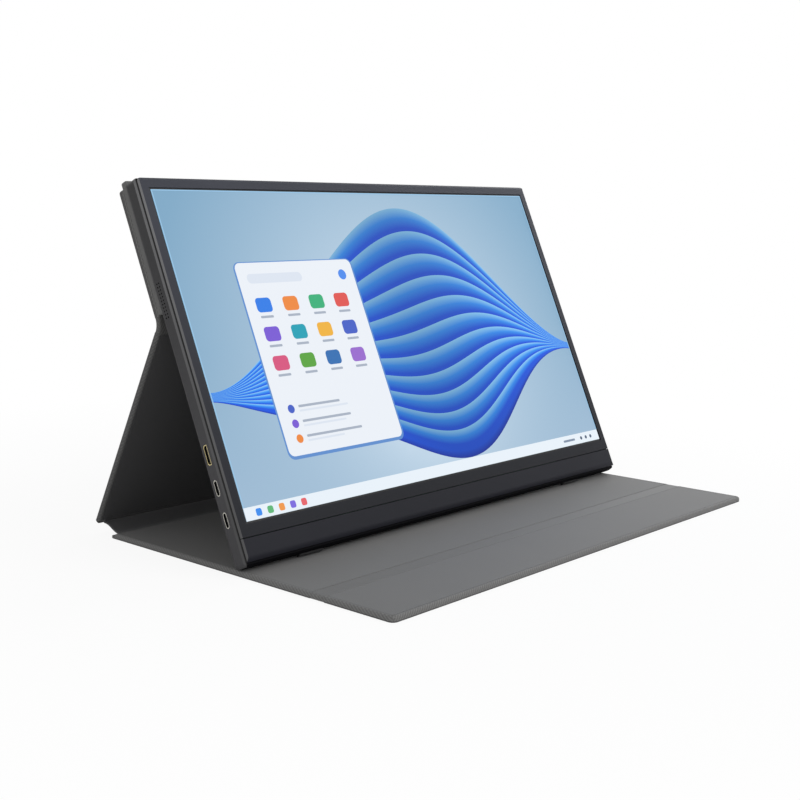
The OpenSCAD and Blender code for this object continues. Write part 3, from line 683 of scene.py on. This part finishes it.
def panel_mesh(low, high, corners, fold, lip=None, turn=TURN_LINE, line=None):
    """A stiff panel that lies flat, leather down, from its lowest to its highest corner.
    corners: radii at its front and rear end. fold: where it meets a soft fold.
    lip: (end, step, height) thins the end past the step to that height.
    turn: height of the leather on the edge. line: where a pressed line starts on the lining."""
    bm = bmesh.new()
    top = high.z
    block(bm, low, high)
    if lip:
        end, step, height = lip
        side = 1 if end > step else -1
        split(bm, 1, step, step + side * STEP_RUN)
        thin = [v for v in bm.verts if (v.co.y - step) * side > STEP_RUN / 2 and v.co.z > top / 2]
        bmesh.ops.translate(bm, vec=(0, 0, height - top), verts=thin)
    for y, radius in zip((low.y, high.y), corners):
        if radius:
            ends = edges_at(bm, lambda m: abs(m.y - y) < CLOSE)
            soften(bm, [e for e in ends if upright(e, 0.5 * MM)], radius, 8)
    rim = corners_of(edges_at(bm, lambda m: m.z > top - CLOSE and abs(m.y - fold) > CLOSE))
    soften(bm, rim, RIM_ROUND, 6)
    soften(bm, corners_of(edges_at(bm, lambda m: m.z < low.z + CLOSE)), FOOT_ROUND, 3)
    for face in bm.faces:
        face.material_index = LINING if face.normal.z > LEVEL else EDGE
    press_seam(bm, top)
    if line:
        split(bm, 1, line, line + LINE_HALF, line + 2 * LINE_HALF)
        for vert in bm.verts:
            if abs(vert.co.y - line - LINE_HALF) < CLOSE and vert.co.z > top - SEAM_DEPTH - HAIR:
                vert.co.z -= LINE_DEPTH
    split(bm, 2, turn)
    for face in bm.faces:
        if face.calc_center_median().z < turn:
            face.material_index = LEATHER
    lay_flat_map(bm)
    return bm


def strip_mesh(path, half_width, thickness, rounds=None):
    """A soft strip along a path of (y, z) points. rounds: radii of its long edges above and below."""
    bm = bmesh.new()
    first = bmesh.ops.create_grid(bm, x_segments=1, y_segments=1, size=0.5)["verts"]
    bmesh.ops.scale(bm, vec=(2 * half_width, thickness, 1), verts=first)
    sides = [v for v in first if v.co.y > 0], [v for v in first if v.co.y < 0]
    for corners, radius in zip(sides, rounds or (thickness * 0.4, thickness * 0.4)):
        round_corners(bm, corners, radius, 4)
    section = {v: v.co.copy() for v in bm.verts}
    ring = bm.faces[:]

    def stand(verts, i):
        before, after = path[max(i - 1, 0)], path[min(i + 1, len(path) - 1)]
        along = Vector((0, after[0] - before[0], after[1] - before[1])).normalized()
        across = Vector((0, -along.z, along.y))
        for vert, flat in verts.items():
            vert.co = Vector((flat.x, *path[i])) + across * flat.y
    stand(section, 0)
    for i in range(1, len(path)):
        order = [section[v] for v in ring[0].verts]
        made = bmesh.ops.extrude_face_region(bm, geom=ring, use_keep_orig=(i == 1))["geom"]
        ring = [g for g in made if isinstance(g, bmesh.types.BMFace)]
        section = dict(zip(ring[0].verts, order))
        stand(section, i)
    bmesh.ops.recalc_face_normals(bm, faces=bm.faces[:])
    return bm


def bend_path(corner, before, after, reach, tail, steps):
    """Side-view points that come in along one slope, bend smoothly about the corner and leave along another.
    The slopes are angles, reach is how far from the corner the bend starts, tail how far the ends run on."""
    turn = after - before
    radius = reach / math.tan(abs(turn) / 2)
    side = 1 if turn > 0 else -1
    a = Vector((math.cos(before), math.sin(before)))
    b = Vector((math.cos(after), math.sin(after)))
    start = Vector(corner) - a * reach
    centre = start + Vector((-a.y, a.x)) * radius * side
    first = math.atan2(start.y - centre.y, start.x - centre.x)
    angles = [first + turn * i / steps for i in range(steps + 1)]
    bend = [(centre.x + radius * math.cos(t), centre.y + radius * math.sin(t)) for t in angles]
    return [tuple(start - a * tail)] + bend + [tuple(Vector(corner) + b * (reach + tail))]


def cover_materials(shaded=False):
    """Leather, lining and wrapped edge; the edge is painted lighter than the lining as a highlight. shaded:
    the darker pair, painted as shade, for the leg and the folds behind.
    """
    cover = settings("cover")
    # the wrapped edge's lighter colour is a painted highlight
    lining, edge = ("Soft lining", cover.lining), ("Wrapped edge highlight", cover.edge)
    # painted shade: the leg and the folds take a darker lining and an edge at 0.6 of the lit one
    if shaded:
        lining, edge = ("Shaded lining", cover.shaded), ("Shaded edge", [c * 0.6 for c in cover.edge])
    return [woven_leather("Outer leather", cover.leather, 0.62),
            woven_leather(lining[0], lining[1], 0.72, 0.04, 0.02),
            striped_edge(edge[0], edge[1], 0.7)]


def shaded_strip(name, path, half_width, thickness, inward, rounds=None, slot=LINING):
    """A strip of the cover behind the base: leather, with a material of its own on the faces that look inward
    and another on its long sides;
    both are the copies painted darker as shade."""
    bm = strip_mesh(path, half_width, thickness, rounds)
    bm.normal_update()
    for face in bm.faces:
        if face.normal.dot(inward) > HALFWAY:
            face.material_index = slot
        elif abs(face.normal.x) > SIDE:
            face.material_index = EDGE
    lay_flat_map(bm)
    return finish_piece(bm, name, cover_materials(shaded=True))


class MONITOR_OT_base_cover(bpy.types.Operator):
    """Build the base panel, the front flap and the soft fold between them"""
    bl_idname = "monitor.base_cover"
    bl_label = "Base and Flap"

    def execute(self, context):
        cover = settings("cover")
        half = cover.fold_width / 2
        low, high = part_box("base_skin")
        fold = HINGE["flap_fold"]
        step = HINGE["spine_fold"].y - cover.fold_thickness / 2 - LIP_GAP
        high.y += BASE_REACH
        lip = (high.y, step, HINGE["spine_fold"].z - LIP_DROP)
        bm = panel_mesh(low, high, (0, BASE_CORNER), low.y, lip)
        base = finish_piece(bm, "base_panel", cover_materials(), level=True)
        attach(base, "base")
        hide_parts("base_skin", "base_board", "base_lining")
        front = Vector((low.x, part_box("flap_skin")[0].y, low.z))
        rear = Vector((high.x, fold.y - half, high.z))
        bm = panel_mesh(front, rear, (FLAP_CORNER, 0), rear.y, line=front.y + LINE_IN)
        flap = finish_piece(bm, "flap_panel", cover_materials(), level=True)
        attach(flap, "flap")
        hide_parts("flap_skin", "flap_board", "flap_lining")
        steps = 16
        run = half + FRONT_TAIL
        path = [(fold.y - run + 2 * run * i / steps, fold.z) for i in range(steps + 1)]
        bm = strip_mesh(path, high.x - FOLD_IN, cover.soft_fold, (RIM_ROUND - FOLD_IN, FOLD_FOOT))
        bm.normal_update()
        for face in bm.faces:
            face.material_index = LINING if abs(face.normal.x) < SIDE else EDGE
        lay_flat_map(bm)
        strip = finish_piece(bm, "front_fold", cover_materials())
        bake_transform(strip)
        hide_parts("flap_crease")
        return {"FINISHED"}


class MONITOR_OT_rear_cover(bpy.types.Operator):
    """Build the leg, the upper panel behind the monitor and the soft fold between them"""
    bl_idname = "monitor.rear_cover"
    bl_label = "Leg and Upper Panel"

    def execute(self, context):
        cover = settings("cover")
        half = cover.fold_width / 2
        angle, rise = leg_facts()
        low, high = local_box("leg_skin", leg_matrix())
        lip = (low.y, LIP_LENGTH, rise - LIP_DROP)
        bm = panel_mesh(low, high, (LEG_CORNER, 0), high.y, lip, high.z - RIM_ROUND)
        # painted shade: the leg takes the lining and the edge painted darker
        leg = finish_piece(bm, "leg_panel", cover_materials(shaded=True), leg_matrix(), level=True)
        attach(leg, "leg")
        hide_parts("leg_skin", "leg_board", "leg_lining")
        place = upper_matrix()
        low, high = local_box("upper_skin", place)
        low.y = half
        bm = panel_mesh(low, high, (0, UPPER_CORNER), low.y, turn=UPPER_TURN)
        upper = finish_piece(bm, "upper_panel", cover_materials(), place, level=True)
        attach(upper, "monitor")
        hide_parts("upper_skin", "upper_board", "upper_lining")
        self.pad(place)
        fold = HINGE["back_fold"]
        slope = math.pi / 2 - settings("screen").recline
        path = bend_path((fold.y, fold.z), angle, slope, half, REAR_TAIL, 12)
        strip = shaded_strip("rear_fold", path, high.x - FOLD_IN, cover.soft_fold, Vector((0, -1, 0)),
                             (RIM_ROUND - FOLD_IN, FOLD_FOOT), EDGE)
        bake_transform(strip)
        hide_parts("back_crease")
        return {"FINISHED"}

    def pad(self, place):
        """The magnetic pad between the upper panel and the monitor, a second layer with soft edges."""
        low, high = local_box("mount_pad", place)
        bm = bmesh.new()
        block(bm, low, high)
        ends = edges_at(bm, lambda m: m.y > high.y - CLOSE)
        soften(bm, [e for e in ends if upright(e, MM)], PAD_CORNER, 5)
        soften(bm, corners_of(bm.edges), PAD_ROUND, 4)
        lay_flat_map(bm)
        pad = finish_piece(bm, "magnetic_pad", cover_materials()[LINING:EDGE], place, level=True)
        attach(pad, "monitor")
        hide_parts("mount_pad")


class MONITOR_OT_spine(bpy.types.Operator):
    """Build the soft spine strip that joins the base to the leg"""
    bl_idname = "monitor.spine"
    bl_label = "Spine Strip"

    def execute(self, context):
        low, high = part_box("spine_skin")
        form = (high.x - low.x) / 2, settings("cover").fold_thickness
        start, end = HINGE["spine_fold"], HINGE["leg_fold"]
        lift = math.atan2(end.z - start.z, end.y - start.y)
        inward = Vector((0, -math.sin(lift), math.cos(lift)))
        angle, _ = leg_facts()
        steps = 14
        first, last = start.y + FRONT_BEND, end.y - SPINE_OVER
        wave = []
        for i in range(steps + 1):
            s = i / steps
            wave.append((first + (last - first) * s, start.z + (end.z - start.z) * s * s * (3 - 2 * s)))
        path = [(start.y - SPINE_OVER, start.z), (start.y - SPINE_OVER / 3, start.z)] + wave[:steps // 2 + 1]
        front = shaded_strip("spine_front", path, *form, inward)
        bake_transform(front)
        leaving = Vector((math.cos(angle), math.sin(angle)))
        path = wave[steps // 2:] + bend_path((end.y, end.z), 0, angle, REAR_BEND, 0, 8)[1:-1]
        path.append(tuple(Vector((end.y, end.z)) + leaving * SPINE_UP))
        rear = shaded_strip("spine_rear", path, *form, inward)
        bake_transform(rear)
        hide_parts("spine_skin", "spine_lining")
        return {"FINISHED"}


# ---------------- monitor body

class MONITOR_OT_body_finishes(bpy.types.Operator):
    """Give every solid that shows as it is its plastic, metal, rubber or glass"""
    bl_idname = "monitor.body_finishes"
    bl_label = "Body Finishes"

    def execute(self, context):
        body = settings("body")
        finishes = {
            # painted shade: the housing darkens higher up
            "rear_housing": moulded_plastic("Housing plastic", body.housing, 0.55,
                                            rise=(0.07, 0.17, 0.86, 0.38)),
            # painted shade: the bezel darkens towards the bottom
            "front_frame": moulded_plastic("Bezel plastic", body.bezel, 0.5,
                                           rise=(0.02, 0.21, 0.3, 1.0), gloss=0.12),
            "chin_bar": moulded_plastic("Chin plastic", body.chin, 0.5, gloss=0.12),
            "lcd_cell": display_glass("Display glass", (0.006, 0.006, 0.007)),
            "optical_sheets": moulded_plastic("White film", (0.8, 0.8, 0.8)),
            "light_guide": moulded_plastic("Clear guide", (0.7, 0.75, 0.78), 0.2),
            "led_strip": moulded_plastic("Lamp strip", (0.8, 0.7, 0.35), 0.3),
            "backlight_tray": brushed_metal("Tray metal", (0.6, 0.61, 0.63)),
            "display_cable": moulded_plastic("Ribbon", (0.45, 0.24, 0.05), 0.3),
            "board_screws": brushed_metal("Screw steel", (0.55, 0.55, 0.56)),
            "headphone_jack": moulded_plastic("Socket plastic", (0.012, 0.012, 0.013), 0.35),
            "steel_plate": brushed_metal("Plate steel", (0.5, 0.51, 0.52)),
            "rubber_feet": soft_rubber("Foot rubber", (0.012, 0.012, 0.013)),
        }
        for name in ("panel_board", "main_board", "button_board"):
            finishes[name] = circuit_lacquer("Circuit lacquer", (0.01, 0.09, 0.035))
        plated = ("Plated socket", (0.97, 0.94, 0.85))
        for name, plating in (("hdmi_socket", ("Gilt socket", (1.0, 0.85, 0.45))),
                              ("usb_c_socket_upper", plated), ("usb_c_socket_lower", plated)):
            finishes[name] = socket_metal(*plating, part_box(name)[0].x + SOCKET_RIM)
        for name in ("power_button", "menu_rocker"):
            finishes[name] = moulded_plastic("Button plastic", (0.02, 0.02, 0.024), 0.4)
        for name in ("speaker_left", "speaker_right"):
            finishes[name] = moulded_plastic("Speaker box", (0.01, 0.01, 0.01), 0.7)
        for name in ("housing_magnets", "flap_magnets"):
            finishes[name] = brushed_metal("Magnet plating", (0.5, 0.5, 0.52))
        leather, soft, _ = cover_materials()
        for name in frame["nodes"]:
            mesh = frame["nodes"][name].data
            chosen = finishes.get(name) or (soft if "lining" in name else leather)
            mesh.materials.clear()
            mesh.materials.append(chosen)
        self.body_edges(body)
        return {"FINISHED"}

    def body_edges(self, body):
        """The bevel in front of the side walls, painted lighter as a highlight; the floor of the seam and the
        roll under the chin, painted dark as shade, and painted shade beside the pad, over the chin and on the
        ledge.
        """
        low, high = local_box("rear_housing", screen_matrix())
        # painted highlight: the bevel is lighter than the housing; it darkens towards the bottom as painted
        # shade, and its groove holds painted shade of the seam
        bevel = moulded_plastic("Bevel highlight plastic", body.bevel, 0.4, rise=(0.03, 0.2, 0.42, 1.0),
                                groove=GROOVE)
        # painted shade: a near-black for the roll, the seam, the ledge and the back beside the pad
        shade = moulded_plastic("Shaded plastic", (0.003, 0.003, 0.004), 0.7, gloss=0.05)
        pad_foot = local_box("mount_pad", screen_matrix())[0].z
        seam = local_box("chin_bar", screen_matrix())[1].z

        def aside(p):
            """How far in from the side wall a point lies."""
            return high.x - abs(p.x)

        housing = (  # painted highlight on the bevel; painted shade on the roll, the seam's floor and the back beside the pad
            (bevel, lambda p, n: FACING < abs(n.x) < LEVEL and p.y < WALL),
            (shade, lambda p, n: p.z < low.z + ROLL[0] and p.y < ROLL[1] and n.z < 0.1
             and abs(n.x) < HALFWAY),
            (shade, lambda p, n: p.y < SEAM_FLOOR and n.y < -FACING),
            (shade, lambda p, n: p.z > pad_foot and n.y > 0.75 and aside(p) < WALL))
        front = (  # painted highlight on the bevel; painted shade on the seam over the chin, the side of the groove and the ledge
            (bevel, lambda p, n: SIDE < abs(n.x) < 0.95 and p.y < 0.3 * MM),
            (shade, lambda p, n: abs(p.z - seam) < 0.5 * MM and abs(n.z) > HALFWAY),
            (shade, lambda p, n: p.y > 0.2 * MM and aside(p) < 1.2 * MM and abs(n.x) > FACING),
            (shade, lambda p, n: abs(p.z - high.z + LEDGE) < 0.05 * MM and n.z > FACING))
        for name, rules in (("rear_housing", housing), ("front_frame", front), ("chin_bar", front)):
            for material, test in rules:
                self.paint(name, material, test)

    def paint(self, name, material, test):
        """Gives a material to the faces of a solid that pass the test in the screen's own place."""
        mesh = frame["nodes"][name].data
        back = screen_matrix().inverted()
        slot = len(mesh.materials)
        mesh.materials.append(material)
        for face in mesh.polygons:
            if test(back @ face.center, back.to_3x3() @ face.normal):
                face.material_index = slot


# ---------------- studio

class MONITOR_OT_studio(bpy.types.Operator):
    """Set up the camera, the pale floor and the soft light"""
    bl_idname = "monitor.studio"
    bl_label = "Studio"

    def execute(self, context):
        studio = settings("studio")
        scene = context.scene
        scene.view_settings.view_transform = "Standard"
        self.camera(scene, studio)
        self.world(scene, studio)
        self.floor()
        self.lamp("Key lamp", (0.5, -1.4, 1.3), (0, 0, 0.1), 1.2, studio.key)
        self.lamp("Right lamp", (0.75, 0.12, 0.42), (0.1, -0.05, 0.0), 0.5, studio.fill)
        self.lamp("Left lamp", (-1.1, -0.3, 0.35), (-0.1, 0, 0.05), 0.5, studio.side)
        return {"FINISHED"}

    def camera(self, scene, studio):
        data = bpy.data.cameras.new("Camera")
        data.lens = studio.lens
        data.sensor_width = 36
        data.clip_start, data.clip_end = 0.01, 50
        camera = bpy.data.objects.new("Camera", data)
        scene.collection.objects.link(camera)
        right = Vector((0.667969, -0.744124, 0.009858))
        down = Vector((-0.107307, -0.109416, -0.988187))
        ahead = Vector((0.736412, 0.659021, -0.152936))
        turned = Matrix((right, -down, -ahead)).transposed().to_4x4()
        camera.matrix_world = Matrix.Translation((-0.613214, -0.505925, 0.199819)) @ turned
        scene.camera = camera

    def world(self, scene, studio):
        world = bpy.data.worlds.new("Studio")
        scene.world = world
        world.use_nodes = True
        tree = world.node_tree
        soft = tree.nodes["Background"]
        soft.inputs["Color"].default_value = (1, 1, 1, 1)
        soft.inputs["Strength"].default_value = studio.ambient
        white = add(tree, "Background", {"Color": (1, 1, 1, 1), "Strength": 1})
        path = add(tree, "LightPath", {})
        through = combine(tree, "MAXIMUM", path.outputs["Is Glossy Ray"], path.outputs["Is Transmission Ray"])
        seen = combine(tree, "MAXIMUM", path.outputs["Is Camera Ray"], through)
        self.choose(tree, seen, soft, white, "World Output")

    def choose(self, tree, share, usual, other, end):
        """Shows one of two shaders, or a share of each."""
        node = add(tree, "MixShader", {"Fac": share, 1: usual.outputs[0], 2: other.outputs[0]})
        tree.links.new(node.outputs["Shader"], tree.nodes[end].inputs["Surface"])

    def floor(self):
        """A pale floor that keeps the shadow and runs out to plain white."""
        bm = bmesh.new()
        bmesh.ops.create_grid(bm, x_segments=1, y_segments=1, size=6)
        material, tree, principled = shader("Pale floor", (0.86, 0.86, 0.86), 0.9, Specular_IOR_Level=0.0)
        white = add(tree, "Emission", {"Color": (1, 1, 1, 1)})
        path = add(tree, "LightPath", {})
        away = add(tree, "VectorMath", {0: place_of(tree)}, operation="LENGTH")
        fade = remap(tree, away.outputs["Value"], 0.9, 1.0, 0.15, 0.6)
        share = combine(tree, "MULTIPLY", path.outputs["Is Camera Ray"], fade)
        self.choose(tree, share, principled, white, "Material Output")
        floor = finish_piece(bm, "floor", [material], Matrix.Translation((0, 0, -0.05 * MM)))

    def lamp(self, name, place, target, size, power):
        data = bpy.data.lights.new(name, "AREA")
        data.size = size
        data.energy = power
        lamp = bpy.data.objects.new(name, data)
        bpy.context.scene.collection.objects.link(lamp)
        lamp.location = place
        lamp.rotation_mode = "QUATERNION"
        lamp.rotation_quaternion = (Vector(target) - Vector(place)).to_track_quat("-Z", "Y")


# ---------------- add-on

OPERATORS = (MONITOR_OT_body_finishes, MONITOR_OT_screen_picture, MONITOR_OT_base_cover,
             MONITOR_OT_rear_cover, MONITOR_OT_spine, MONITOR_OT_studio)


class MONITOR_PT_panel(bpy.types.Panel):
    """Sizes, colours and steps of the monitor"""
    bl_idname = "MONITOR_PT_panel"
    bl_label = "Portable Monitor"
    bl_space_type = "VIEW_3D"
    bl_region_type = "UI"
    bl_category = "Monitor"

    def draw(self, context):
        for name, group in SETTINGS.items():
            box = self.layout.box()
            box.label(text=name.capitalize())
            for prop in group.__annotations__:
                box.prop(settings(name), prop)
        for operator in OPERATORS:
            self.layout.operator(operator.bl_idname)


CLASSES = (*SETTINGS.values(), *OPERATORS, MONITOR_PT_panel)


def register():
    for cls in CLASSES:
        bpy.utils.register_class(cls)
    for name, group in SETTINGS.items():
        setattr(bpy.types.Scene, "monitor_" + name, PointerProperty(type=group))


def unregister():
    for name in SETTINGS:
        delattr(bpy.types.Scene, "monitor_" + name)
    for cls in reversed(CLASSES):
        bpy.utils.unregister_class(cls)


def main():
    register()
    bpy.ops.monitor.body_finishes()
    bpy.ops.monitor.screen_picture()
    bpy.ops.monitor.base_cover()
    bpy.ops.monitor.rear_cover()
    bpy.ops.monitor.spine()
    bpy.ops.monitor.studio()


if __name__ == "__main__":
    main()
